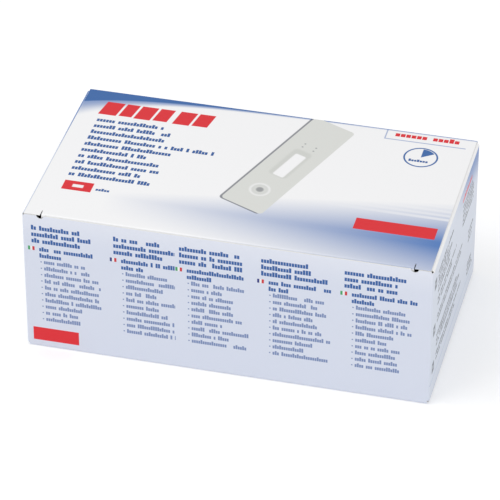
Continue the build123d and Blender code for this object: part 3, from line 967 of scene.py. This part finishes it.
def label_material(name, tones, band, foot, top):
    """Milky bottle with a bare paper label, which has a coloured band and a painted shadow along its edges.
    """
    look = Look(name, Roughness=0.34, IOR=1.5)
    z = look.z
    label = look.between(z, foot, top, 0.1)
    stripe = look.between(z, top - 4.0, top - 0.8, 0.1)
    uneven = look.ramp(look.noise(0.15, 3.0), 0.3, 0.8)
    tone = look.paint(tones.bottle, uneven, darker(tones.bottle, 0.9))
    tone = look.paint(tone, label, tones.label)
    tone = look.paint(tone, stripe, band)
    # Painted shadow: a fine dark line along the label's foot and top edges.
    edges = [look.between(z, edge - 0.1, edge + 0.1, 0.1) for edge in (foot, top)]
    tone = look.paint(tone, look.most(*edges) * 0.3, tones.label_edge_shadow)
    look.bump(label + look.noise(1.2, 3.0) * 0.3, 0.06, 0.7)
    return look.surface(Base_Color=tone)


def blown_bottle(radius, foot, shoulder, top, neck):
    """Bottle with a rounded foot, a sloping shoulder and a neck."""
    rings = (
        (foot, radius - 2.2),
        (foot + 0.5, radius - 1.0),
        (foot + 1.6, radius),
        (shoulder, radius),
        (shoulder + radius * 0.12, radius * 0.96),
        (shoulder + radius * 0.24, radius * 0.8),
        (shoulder + radius / 3, neck),
        (top, neck),
    )
    return soften(turned(rings, 48), 0.3)


def ribbed_cap(radius, low, high, cavity, cavity_depth):
    """Screw cap: ribs round its side, a rounded top, and a hollow underneath."""
    root = radius - RIB_HEIGHT
    rib_foot, rib_top = low + 0.8, high - 1.6
    rounded_top = ((high - 0.5, radius - 0.6), (high, radius - 1.7))
    cap = turned(((low, root), (rib_foot, root), (rib_top, root), *rounded_top), 2 * RIBS)
    step = 2 * math.pi / RIBS
    for face in cap.data.polygons:
        middle = face.center
        on_side = abs(face.normal.z) < 0.3 and rib_foot * MM < middle.z < rib_top * MM
        face.select = on_side and math.atan2(middle.y, middle.x) % step < step / 2
    bpy.ops.object.mode_set(mode="EDIT")
    bpy.ops.mesh.select_mode(type="FACE")
    bpy.ops.mesh.inset(thickness=RIB_TAPER * MM, depth=RIB_HEIGHT * MM, use_individual=True)
    bpy.ops.mesh.select_all(action="DESELECT")
    bpy.ops.object.mode_set(mode="OBJECT")
    for face in cap.data.polygons:
        face.select = face.normal.z < -0.9 and face.center.z < (low + 0.1) * MM
    bpy.ops.object.mode_set(mode="EDIT")
    bpy.ops.mesh.inset(thickness=(root - cavity) * MM, depth=0)
    bpy.ops.mesh.extrude_region_move(TRANSFORM_OT_translate={"value": (0, 0, cavity_depth * MM)})
    bpy.ops.object.mode_set(mode="OBJECT")
    bpy.ops.object.shade_smooth_by_angle(angle=math.radians(30))
    return cap


class CARTON_OT_bottles(bpy.types.Operator):
    """Blow the four dropper bottles and mould their ribbed caps"""

    bl_idname = "carton.bottles"
    bl_label = "Dropper bottles"

    def execute(self, context):
        tones = context.scene.carton_plastics
        kinds = (
            ("reagent_1", "cap_white", tones.white_cap, tones.grey_band),
            ("reagent_2", "cap_blue", tones.blue_cap, tones.blue_cap),
            ("positive_control", "cap_red", tones.red_cap, tones.red_cap),
            ("negative_control", "cap_green", tones.green_cap, tones.green_cap),
        )
        nozzle = plastic("nozzle_plastic", tones.tip, 0.35, 0.2)
        for name, slot, tone, band in kinds:
            low, high = in_mm(name + "_bottle")
            centre = Matrix.Translation(((low.x + high.x) / 2 * MM, (low.y + high.y) / 2 * MM, 0))
            radius = (high.y - low.y) / 2
            neck = NECK_SHARE * radius
            shoulder = high.z - NECK_RISE * radius - radius / 3
            bottle = blown_bottle(radius, low.z, shoulder, high.z, neck)
            bottle.data.transform(centre)
            foot, top = low.z + LABEL_FOOT, shoulder - LABEL_TOP
            bottle.data.materials.append(label_material(name + "_bottle_plastic", tones, band, foot, top))
            settle(bottle, name + "_bottle_blown", "carton", "bottle_plastic", name + "_bottle")

            low, high = in_mm(name + "_cap")
            cap = ribbed_cap((high.y - low.y) / 2, low.z, high.z, neck + 0.3, high.z - low.z - CAP_TOP_WALL)
            cap.data.transform(centre)
            cap.data.materials.append(plastic(slot + "_plastic", tone, 0.38))
            settle(cap, name + "_cap_ribbed", name + "_cap", slot, name + "_cap")
            dress(name + "_nozzle", nozzle)
        return {"FINISHED"}


# Rack, tubes and tips

RACK_COLUMNS, RACK_ROWS = 5, 4
RACK_PITCH = 16
TUBE_RADIUS = 4.75  # clears the rack's holes, which are eight-sided
TUBE_MOUTH = 4.8
FLANGE_RADIUS = 6.4
FLANGE_THICK = 1.2
TIP_SKIRT = 6
TIP_FOOT_RADIUS = 5.9


def in_rack(pattern, name, slot, node):
    """One piece of twenty copies, one in each hole of the rack."""
    low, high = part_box("tube_rack")
    middle = (low + high) / 2
    copies = []
    for column in range(RACK_COLUMNS):
        for row in range(RACK_ROWS):
            x = middle.x + (column - (RACK_COLUMNS - 1) / 2) * RACK_PITCH * MM
            y = middle.y + (row - (RACK_ROWS - 1) / 2) * RACK_PITCH * MM
            copies.append(copy_at(pattern, Matrix.Translation((x, y, 0))))
    discard(pattern)
    start_piece()
    for piece in copies:
        piece.select_set(True)
    bpy.context.view_layer.objects.active = copies[0]
    bpy.ops.object.join()
    settle(copies[0], name, "carton", slot, node)


def moulded_tube(low, high, rack_top):
    """Tube with a cone at its foot and a flange that rests on the rack."""
    rings = (
        (low, 1.6),
        (low + 0.8, 2.6),
        (low + 12, 4.7),
        (rack_top, TUBE_RADIUS),
        (rack_top, FLANGE_RADIUS),
        (rack_top + FLANGE_THICK, FLANGE_RADIUS),
        (rack_top + FLANGE_THICK, TUBE_MOUTH),
        (high, TUBE_MOUTH),
    )
    return soften(turned(rings, 24), 0.15)


def moulded_tip(low, high):
    """Dropper tip with a skirt that plugs a tube's mouth and a thin spout."""
    skirt = low + TIP_SKIRT
    rings = (
        (low, TIP_FOOT_RADIUS),
        (low + 0.8, TIP_FOOT_RADIUS),
        (low + 0.8, 5.6),
        (skirt, 5.4),
        (skirt + 1.2, 4.0),
        (skirt + 3.6, 2.2),
        (skirt + 6, 1.7),
        (high, 1.1),
    )
    return soften(turned(rings, 24), 0.15)


class CARTON_OT_tubes(bpy.types.Operator):
    """Mould the flanged tubes and the dropper tips, and finish the rack under them"""

    bl_idname = "carton.tubes"
    bl_label = "Rack, tubes and tips"

    def execute(self, context):
        tones = context.scene.carton_plastics
        low, high = in_mm("extraction_tubes")
        tube = moulded_tube(low.z, high.z, in_mm("tube_rack")[1].z)
        tube.data.materials.append(plastic("tube_plastic", tones.tube, 0.22, 0.55))
        in_rack(tube, "extraction_tubes_moulded", "tube_plastic", "extraction_tubes")

        low, high = in_mm("dropper_tips")
        tip = moulded_tip(low.z, high.z)
        tip.data.materials.append(plastic("tip_plastic", tones.tip, 0.3, 0.3))
        in_rack(tip, "dropper_tips_moulded", "tip_plastic", "dropper_tips")

        dress("tube_rack", plastic("rack_plastic", tones.rack, 0.45, 0.0, 0.5))
        return {"FINISHED"}


# Leaflet

LEAFLET_MARGIN = 5
LEAFLET_ROWS, LEAFLET_PITCH = 22, 2.4
# Left edge, shortest row and seed of each column of words
LEAFLET_COLUMNS = ((5, 30.0, 91.0), (44, 28.0, 92.0))


def leaflet_material(leaflet):
    """Thin paper with two columns of fine rows of words."""
    look = Look("leaflet_paper", Roughness=0.82)
    low, high = in_mm("package_insert")
    fibres = look.noise(0.9, 5.0)
    tone = look.paint(leaflet.paper, fibres * 0.2, darker(leaflet.paper, 0.85))
    columns = [
        look.words(look.x, look.z, low.x + left, high.z - LEAFLET_MARGIN, short, 34.0, rows=LEAFLET_ROWS,
                   pitch=LEAFLET_PITCH, height=1.5, letter=0.9, seed=seed)
        for left, short, seed in LEAFLET_COLUMNS
    ]
    look.bump(fibres, 0.05, 0.5)
    return look.surface(Base_Color=look.paint(tone, look.most(*columns) * 0.7, leaflet.words))


class CARTON_OT_leaflet(bpy.types.Operator):
    """Print the folded leaflet's paper"""

    bl_idname = "carton.leaflet"
    bl_label = "Folded leaflet"

    def execute(self, context):
        dress("package_insert", leaflet_material(context.scene.carton_leaflet))
        return {"FINISHED"}


# Stage, in metres

FLOOR_SIZE = 12
LAMP_AIM = (0, 0, 0.04)
KEY_WIDTH, KEY_PLACE = 1.4, (-0.9, -0.6, 1.7)
FILL_WIDTH, FILL_PLACE = 1.2, (1.3, -1.2, 0.9)
CAMERA_PLACE = (0.3729, -1.5063, 1.1317)
CAMERA_VIEW = (-0.19772, 0.79359, -0.57543)
SENSOR_WIDTH = 36
CLIP_END = 30


def floor_material(stage):
    """Matt pale floor, which keeps its shadows and adds a little white to what the camera sees."""
    material = bpy.data.materials.new("floor")
    material.use_nodes = True
    nodes = Nodes(material.node_tree)
    matt = nodes.tree.nodes["Principled BSDF"]
    nodes.fill(matt, {"Base Color": stage.floor, "Roughness": 0.9, "Specular IOR Level": 0.1})
    ray = nodes.add("ShaderNodeLightPath").outputs
    kinds = ("Is Camera Ray", "Is Glossy Ray", "Is Transmission Ray")
    seen = nodes.most(*(Link(nodes, ray[kind]) for kind in kinds))
    glow = nodes.get("ShaderNodeEmission", named={"Strength": seen * stage.glow})
    both = nodes.get("ShaderNodeAddShader", Link(nodes, matt.outputs[0]), glow)
    nodes.fill(nodes.tree.nodes["Material Output"], {"Surface": both})
    return material


def lay_floor(stage):
    """Wide floor under the carton."""
    start_piece()
    bpy.ops.mesh.primitive_plane_add(size=FLOOR_SIZE, location=(0, 0, 0))
    floor = bpy.context.object
    floor.name = "floor"
    floor.data.materials.append(floor_material(stage))


def look_along(thing, view):
    """Turns a lamp or a camera to look along this direction."""
    thing.rotation_euler = view.to_track_quat("-Z", "Y").to_euler()


def hang_lamps(stage):
    """Large soft lamp over the left, and a low one at the front right."""
    lamps = (("key", stage.key, KEY_WIDTH, KEY_PLACE), ("fill", stage.fill, FILL_WIDTH, FILL_PLACE))
    for name, power, wide, place in lamps:
        bpy.ops.object.light_add(type="AREA", location=place)
        lamp = bpy.context.object
        lamp.name = name
        lamp.data.energy = power
        lamp.data.size = wide
        look_along(lamp, Vector(LAMP_AIM) - Vector(place))


def set_world(scene, stage):
    """Even white light from all round."""
    world = bpy.data.worlds.new("studio")
    world.use_nodes = True
    background = world.node_tree.nodes["Background"]
    background.inputs["Color"].default_value = (1, 1, 1, 1)
    background.inputs["Strength"].default_value = stage.world
    scene.world = world


def set_camera(scene, stage):
    """Camera at the front right, well above the carton."""
    bpy.ops.object.camera_add(location=CAMERA_PLACE)
    camera = bpy.context.object
    look_along(camera, Vector(CAMERA_VIEW))
    camera.data.lens = stage.lens
    camera.data.sensor_width = SENSOR_WIDTH
    camera.data.clip_end = CLIP_END
    scene.camera = camera


class CARTON_OT_stage(bpy.types.Operator):
    """Set up the pale floor, the soft lamps and the camera"""

    bl_idname = "carton.stage"
    bl_label = "Floor, light and camera"

    def execute(self, context):
        stage = context.scene.carton_stage
        context.scene.view_settings.view_transform = "Standard"
        lay_floor(stage)
        hang_lamps(stage)
        set_world(context.scene, stage)
        set_camera(context.scene, stage)
        return {"FINISHED"}


STEPS = ("board", "pouches", "packs", "bottles", "tubes", "leaflet", "stage")


class CARTON_PT_panel(bpy.types.Panel):
    """Buttons for each group of pieces and for the stage, with the sizes and colours that they use"""

    bl_label = "Test kit carton"
    bl_idname = "CARTON_PT_panel"
    bl_space_type = "VIEW_3D"
    bl_region_type = "UI"
    bl_category = "Carton"

    def draw(self, context):
        for step in STEPS:
            self.layout.operator(f"carton.{step}")
        for name, group in SETTINGS.items():
            box = self.layout.box()
            for field in group.__annotations__:
                box.prop(getattr(context.scene, name), field)


CLASSES = (
    *SETTINGS.values(),
    CARTON_OT_board,
    CARTON_OT_pouches,
    CARTON_OT_packs,
    CARTON_OT_bottles,
    CARTON_OT_tubes,
    CARTON_OT_leaflet,
    CARTON_OT_stage,
    CARTON_PT_panel,
)


def register():
    for each in CLASSES:
        bpy.utils.register_class(each)
    for name, group in SETTINGS.items():
        setattr(bpy.types.Scene, name, bpy.props.PointerProperty(type=group))


def unregister():
    for name in SETTINGS:
        delattr(bpy.types.Scene, name)
    for each in reversed(CLASSES):
        bpy.utils.unregister_class(each)


def main():
    register()
    for step in STEPS:
        getattr(bpy.ops.carton, step)()


if __name__ == "__main__":
    main()
